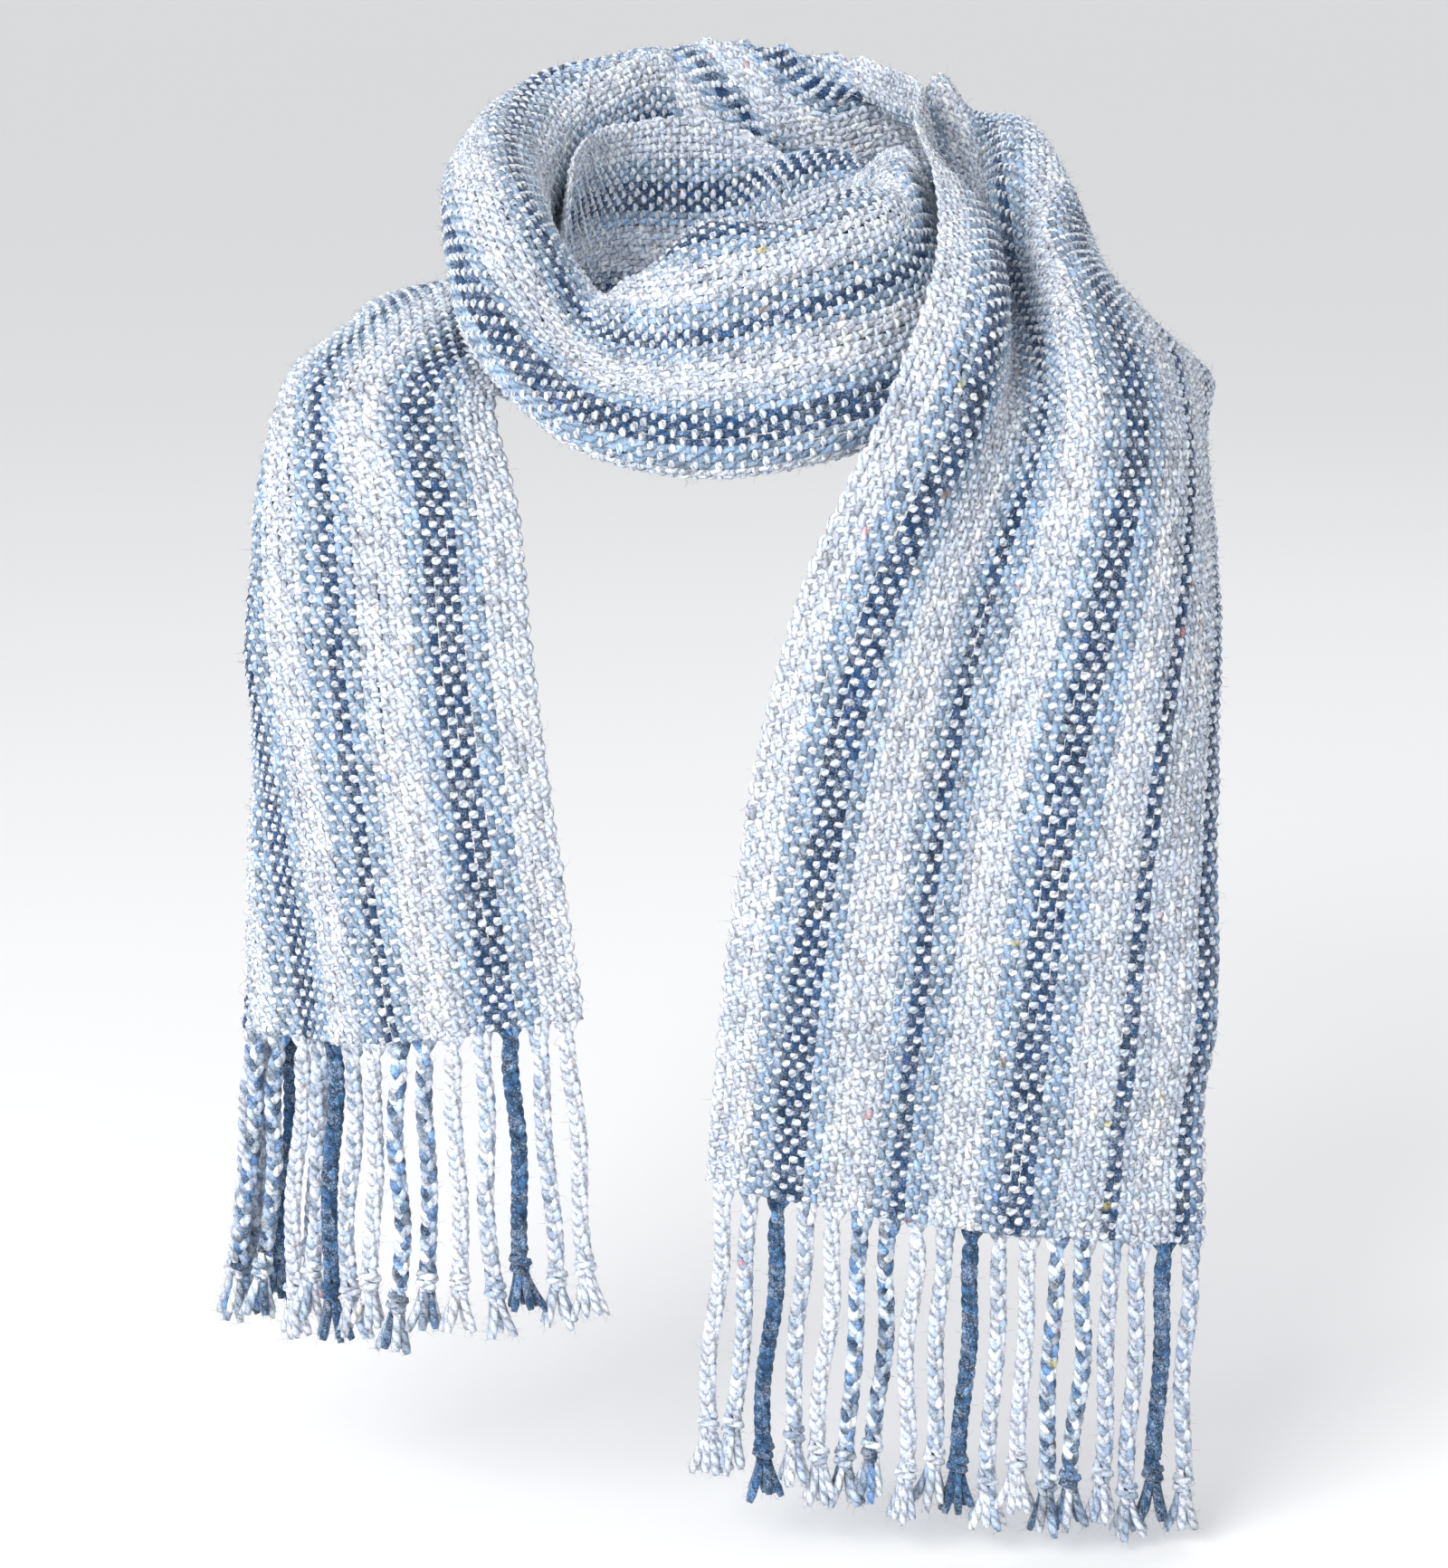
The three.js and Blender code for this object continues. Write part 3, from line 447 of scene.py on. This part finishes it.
def wool_with_painted_ply_shade(name):
    """Woollen yarn: the dyed fibre's colour, fine heathered fibres, and the twist of its plies, as bumps and
    as painted shade in its grooves with a painted highlight on its crowns.
    """
    material = bpy.data.materials.new(name)
    material.use_nodes = True
    tree = material.node_tree
    tree.nodes.clear()
    w = Wool(tree)
    dye = w.node("ShaderNodeAttribute", {"attribute_name": "dye"}, {})
    twist = w.node("ShaderNodeUVMap", {"uv_map": "twist"}, {})
    along = w.node("ShaderNodeSeparateXYZ", {}, {0: twist})
    round_it = w.node("ShaderNodeSeparateXYZ", {}, {0: twist}, out=1)
    place = w.node("ShaderNodeTexCoord", {}, {}, out=3)  # Object coordinates
    fibres, tufts, drift = (
        w.node("ShaderNodeTexNoise", {},
               {"Vector": place, "Scale": scale, "Detail": detail, "Roughness": rough})
        for scale, detail, rough in ((1300.0, 3.0, 0.7), (520.0, 3.0, 0.6), (150.0, 2.0, 0.5)))
    # The twist of the plies: its grooves give the bump, and the same pattern paints shade into the grooves
    # and a highlight onto the crowns of the plies
    groove = w.node("ShaderNodeMath", {"operation": "SINE"},
                    {0: (along * TWISTS_PER_CM + round_it * PLIES) * (2 * math.pi) + tufts * 4.0})
    ply = 1 - (0.5 - groove * 0.5) ** 2.5
    # Pale and blue fibres cloud together within each yarn
    blues = w.node("ShaderNodeMapRange", {}, {0: tufts, 1: 0.47, 2: 0.62, 3: 0.0, 4: 0.70})
    pales = w.node("ShaderNodeMapRange", {},
                   {0: fibres + (drift - 0.5) * 0.6, 1: 0.48, 2: 0.68, 3: 0.0, 4: 0.30})
    clouded = w.node("ShaderNodeMix", {"data_type": "RGBA", "blend_type": "MULTIPLY"},
                     {0: blues, 6: dye, 7: CLOUD_CAST}, out=2)
    flecked = w.node("ShaderNodeMix", {"data_type": "RGBA"}, {0: pales, 6: clouded, 7: PALE_FIBRE}, out=2)
    # Painted shade and highlight: the colour is darkened in the ply grooves and lightened past the dye on the
    # ply crowns, on top of the random tone of the fibres and tufts
    painted_ply_shade_and_fibre_tone = 0.58 + ply * 0.54 + (fibres - 0.5) * 1.6 + (tufts - 0.5) * 0.9
    painted_ply_shade_and_fibre_colour = w.node("ShaderNodeCombineColor", {}, {0: painted_ply_shade_and_fibre_tone, 1: painted_ply_shade_and_fibre_tone, 2: painted_ply_shade_and_fibre_tone})
    colour = w.node("ShaderNodeMix", {"data_type": "RGBA", "blend_type": "MULTIPLY", "clamp_result": True},
                    {0: 1.0, 6: flecked, 7: painted_ply_shade_and_fibre_colour}, out=2)
    relief = ply * 0.7 + fibres * 0.6
    bump = w.node("ShaderNodeBump", {}, {"Strength": 1.0, "Distance": 0.45 * MM, "Height": relief})
    wool_bsdf = w.node("ShaderNodeBsdfPrincipled", {}, {
        "Base Color": colour, "Normal": bump, "Roughness": 0.92, "Specular IOR Level": 0.18,
        "Sheen Weight": 0.35, "Sheen Roughness": 0.45, "Sheen Tint": (0.9, 0.93, 1.0, 1.0)})
    w.node("ShaderNodeOutputMaterial", {}, {"Surface": wool_bsdf})
    return material


striped_wool = wool_with_painted_ply_shade("striped_wool")
# Two places where each tail leaves the chest, listed for a bend that would keep points before the first with
# the wrap and swing those after the second with the tail. Nothing reads them: the pieces of these lengths are
# only baked in place, not attached to the wrap.
LEFT_BEND = ((-0.12, -0.100, -0.066), (-0.12, -0.140, -0.118))
RIGHT_BEND = ((0.12, -0.105, -0.030), (0.12, -0.155, -0.112))
CLOTH_HAIRS, HAIR_LENGTH = 7000, 7 * MM
LENGTHS = [
    ("left", ("left_tail_cloth", "left_shoulder_cloth"), ("wrap", "left_tail", *LEFT_BEND)),
    ("under", ("inner_back_cloth",), None),
    ("over", ("front_loop_cloth", "outer_back_cloth"), None),
    ("right", ("right_shoulder_cloth", "right_tail_cloth"), ("wrap", "right_tail", *RIGHT_BEND)),
]
for number, (title, nodes, bend) in enumerate(LENGTHS):
    first, last = number * picks // CLOTH_LENGTHS, (number + 1) * picks // CLOTH_LENGTHS
    part = slice(2 * first, 2 * last + 1)
    warp = spin(f"{title}_warp", warp_path[:, part], warp_lift[:, part], warp_width[:, part],
                warp_height[:, part], warp_dye[:, part])
    weft = spin(f"{title}_weft", *weft_stretch(first, last))
    halo = fuzz(f"{title}_fuzz", (warp, weft), CLOTH_HAIRS, HAIR_LENGTH)
    for piece in (warp, weft, halo):
        piece.data.materials.append(striped_wool)
        if bend:
            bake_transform(piece)
        else:
            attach(piece, "wrap")
    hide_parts(*nodes)

# ---- The fringe: the warp ends left over at each hem are braided in threes into 18 cords, each
# closed with an overhand knot and cut to a short tassel of plied yarn ends.
CORDS_PER_END = 18
BRAID_LENGTH, LENGTH_SPREAD = 93 * MM, 5 * MM
KNOT_LENGTH, TASSEL_LENGTH, TASSEL_ENDS = 11 * MM, 16 * MM, 6
STRAND, LOBE = 3.5 * MM, 5.2 * MM  # a strand's thickness, and the plait's length from edge to edge
INTO_HEM = 3.2 * MM  # the strands start this far inside the hem, side by side
BAND_TURNS, BAND_POINTS = 1.75, 34  # of the wrap round the knot
CORD_HAIRS, CORD_HAIR_LENGTH, CORD_HAIR = 150, 6 * MM, 0.12 * MM
DYES = {
    "white_braid": (WHITE, WHITE, (0.74, 0.76, 0.82)),
    "sky_braid": (WHITE, (0.40, 0.48, 0.60), (0.66, 0.70, 0.78)),
    "blue_braid": ((0.60, 0.66, 0.76), (0.36, 0.45, 0.58), (0.085, 0.16, 0.29)),
    "navy_braid": ((0.028, 0.088, 0.190), (0.040, 0.112, 0.225), (0.026, 0.078, 0.170)),
    "grey_braid": ((0.58, 0.61, 0.68), (0.34, 0.42, 0.55), WHITE),
}
CORD_DYES = ["white", "sky", "navy", "sky", "white", "blue", "blue", "white", "sky", "navy", "sky",
             "white", "blue", "blue", "grey", "grey", "navy", "grey"]
COLOUR_DRIFT = {"blue": 0.42, "navy": 0.24, "sky": 0.16}  # along a strand, 0.06 for the others
braid_wool = {dye: wool_with_painted_ply_shade(dye) for dye in DYES}


def braid_cord(end, number, top, lean, sway, extra):
    """One cord from its top: the plait, then a second piece of its knot and tassel, and its hairs."""
    name = f"{end}_cord_{number + 1:02d}"
    dye = CORD_DYES[number] + "_braid"
    long = BRAID_LENGTH + extra
    down = np.array([-math.sin(lean), math.sin(sway) * math.cos(lean), -math.cos(sway) * math.cos(lean)])
    side = unit(np.cross(down, [0, 1, 0]))
    front = unit(np.cross(side, down))
    wander = rng.uniform(0, 6.28, 2)
    curl = rng.uniform(0.6, 1.6, 2) * MM

    def middle(s):
        """The cord hangs nearly plumb, with the small bends that drying leaves in wool."""
        ease = np.clip(s / 0.02, 0, 1)[:, None]
        return (top + down * s[:, None] + ease * (
            side * (curl[0] * np.sin(s * 75 + wander[0]))[:, None]
            + front * (curl[1] * np.sin(s * 60 + wander[1]))[:, None]))

    s = np.linspace(-INTO_HEM, long, int(long / (LOBE * 3) * 24))
    phase = (2 * math.pi * (s / (LOBE * 3) + np.arange(3)[:, None] / 3 + rng.uniform()))
    spread = np.clip(1 - (s + INTO_HEM) / (11 * MM), 0, 1) ** 1.4
    across = np.sin(phase) * 1.75 * MM * (1 - spread) + (np.arange(3)[:, None] - 1) * 3.3 * MM * spread
    deep = np.sin(2 * phase) * 1.0 * MM * (1 - spread)
    path = middle(s)
    strands = path[None] + side * across[..., None] + front * deep[..., None]
    shape = strands.shape[:2]
    uneven = np.exp(slubby(shape, 5, 0.06))
    lift = np.broadcast_to(front, strands.shape)
    colours = np.array(DYES[dye])[(np.arange(3) + number) % 3][:, None]
    amount = COLOUR_DRIFT.get(CORD_DYES[number], 0.06)
    braid = spin(name, strands, lift, STRAND * 1.06 * uneven, STRAND * 0.92 * uneven,
                 heather(colours, shape, amount, NEPS_IN_BRAID), sides=6)

    # The knot: the strands swell, and nearly two turns of one of them wrap it
    foot, way = path[-1], unit(path[-1] - path[-3])
    out = unit(np.cross(way, front))
    fore = unit(np.cross(out, way))
    t = np.linspace(0, 1, 9)
    angle = 2 * math.pi * (np.arange(3)[:, None] / 3 + 0.3 * t) + rng.uniform(0, 6.28)
    swell = (1.2 + 1.2 * np.sin(math.pi * np.clip(t * 0.9 + 0.1, 0, 1))) * MM
    body = (foot + way * (t * KNOT_LENGTH - 1 * MM)[None, :, None]
            + out * (np.cos(angle) * swell)[..., None] + fore * (np.sin(angle) * swell)[..., None])
    core = spin(name + "_core", body, np.broadcast_to(fore, body.shape),
                np.full(body.shape[:2], 3.3 * MM), np.full(body.shape[:2], 3.3 * MM),
                heather(colours, body.shape[:2], amount, NEPS_IN_KNOT))
    t = np.linspace(0, 1, BAND_POINTS)
    round_knot = 2 * math.pi * (BAND_TURNS * t + rng.uniform())
    girth = (3.15 - 2.1 * np.clip(1 - t / 0.13, 0, 1) - 2.1 * np.clip((t - 0.87) / 0.13, 0, 1)) * MM
    fall = KNOT_LENGTH * (0.16 + 0.62 * t) + 0.9 * MM * np.sin(round_knot)
    band = (foot + way * fall[:, None] + out * (np.cos(round_knot) * girth)[:, None]
            + fore * (np.sin(round_knot) * girth * 0.9)[:, None])[None]
    wrap = spin(name + "_band", band, np.broadcast_to(way, band.shape),
                np.full((1, BAND_POINTS), 3.3 * MM), np.full((1, BAND_POINTS), 3.6 * MM),
                heather(colours[1:2], (1, BAND_POINTS), amount, NEPS_IN_KNOT))

    # The tassel: the cut yarn ends splay below the knot
    base = foot + way * (KNOT_LENGTH * 0.86)
    turn = 2 * math.pi * (np.arange(TASSEL_ENDS) / TASSEL_ENDS + rng.uniform(0, 0.12, TASSEL_ENDS))
    turn = turn + rng.uniform(0, 6.28)
    flare = rng.uniform(0.16, 0.46, TASSEL_ENDS)
    reach = TASSEL_LENGTH * rng.uniform(0.86, 1.06, TASSEL_ENDS)
    t = np.linspace(0, 1, 7)
    radius = 1.7 * MM + (flare * reach)[:, None] * t ** 1.3
    ends_path = (base + way * (reach[:, None] * t)[..., None]
                 + out * (np.cos(turn)[:, None] * radius)[..., None]
                 + fore * (np.sin(turn)[:, None] * radius * 0.8)[..., None])
    girth = 3.4 * MM * (1 + 0.14 * t) * rng.uniform(0.88, 1.1, (TASSEL_ENDS, 1))
    girth = girth * np.where(t > 0.99, 0.75, 1)
    strand_dye = heather(colours[np.arange(TASSEL_ENDS) % 3], (TASSEL_ENDS, 7), amount, NEPS_IN_KNOT)
    tassel = spin(name + "_knot", ends_path, np.broadcast_to(fore, ends_path.shape), girth, girth * 0.9,
                  strand_dye)
    hairs = fuzz(name + "_hair", (braid, tassel), CORD_HAIRS, CORD_HAIR_LENGTH, CORD_HAIR)
    for piece in (core, wrap, tassel):
        piece.select_set(True)
    bpy.context.view_layer.objects.active = tassel
    bpy.ops.object.join()
    bpy.ops.object.select_all(action="DESELECT")
    for piece in (braid, tassel, hairs):
        piece.data.materials.append(braid_wool[dye])
        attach(piece, f"{end}_tail")
    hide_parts(f"{end}_fringe_{number + 1:02d}")


# Each end's fringe: its hem line, the way into the cloth, the cords' lean in radians for each metre
# from the place across where they hang plumb, and that place
PAST_HEM, BELOW_HEM = 1.24 * MM, 1.5 * MM  # where a cord's top lies
hem_columns = CLOTH_WIDTH * np.arange(CORDS_PER_END + 1) / CORDS_PER_END
hem_rows = np.stack([across_line(line, hem_columns) for line in WORN_LINES])
for end, hem, inward, lean_per_m, plumb in (
        ("left", 0, 0.1, 1.36, -0.114), ("right", last_line, -0.1, 0.31, 0.218)):
    for number in range(CORDS_PER_END):
        corners = hem_rows[hem, number:number + 2]
        top = corners.mean(axis=0)
        above = smooth_line(hem_rows[:, number], np.array([hem + inward]))[0]
        top = top + unit(top - above) * PAST_HEM - np.array([0, 0, BELOW_HEM])
        lean = lean_per_m * (plumb - corners.mean(axis=0)[0])
        extra = LENGTH_SPREAD * math.sin(number * 2.4 + hem)
        braid_cord(end, number, top, lean, 0.012 * math.sin(number * 1.7), extra)

# ---- The floor: one plain pale surface, just under the longest cord. It runs so far back that the
# view shows no edge, and its colour goes over into the daylight's.
bpy.ops.mesh.primitive_plane_add(size=900, location=(0, 0, 0))
floor = bpy.context.object
floor.name = "floor"
floor.data.transform(floor.matrix_world)
floor.location = (0, 0, 0)
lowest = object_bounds()[0][2]
for vertex in floor.data.vertices:
    vertex.co.z = lowest - 2 * MM
floor_paint = bpy.data.materials.new("pale_floor")
floor_paint.use_nodes = True
paint = floor_paint.node_tree.nodes["Principled BSDF"]
paint.inputs["Base Color"].default_value = (0.93, 0.93, 0.93, 1)
paint.inputs["Roughness"].default_value = 0.9
floor.data.materials.append(floor_paint)

# ---- The light: soft daylight all round, a large window in front and to the left that brings out
# the ribs of the weave, and a weak one behind that parts the fringe from the floor.
bpy.ops.object.light_add(type="AREA", location=(-1.3, -2.0, 1.0))
window = bpy.context.object
window.data.shape, window.data.size, window.data.energy = "SQUARE", 1.6, 58
window.rotation_euler = (math.radians(64.5), 0, math.radians(-34.4))
bpy.ops.object.light_add(type="AREA", location=(1.6, 1.4, 1.7))
rear = bpy.context.object
rear.data.shape, rear.data.size, rear.data.energy = "SQUARE", 1.4, 8
rear.rotation_euler = (math.radians(-50), 0, math.radians(-48))
world = bpy.data.worlds.new("daylight")
bpy.context.scene.world = world
world.use_nodes = True
world.node_tree.nodes["Background"].inputs["Color"].default_value = (0.97, 0.98, 1.0, 1)
world.node_tree.nodes["Background"].inputs["Strength"].default_value = 0.77
bpy.context.scene.view_settings.view_transform = "Standard"
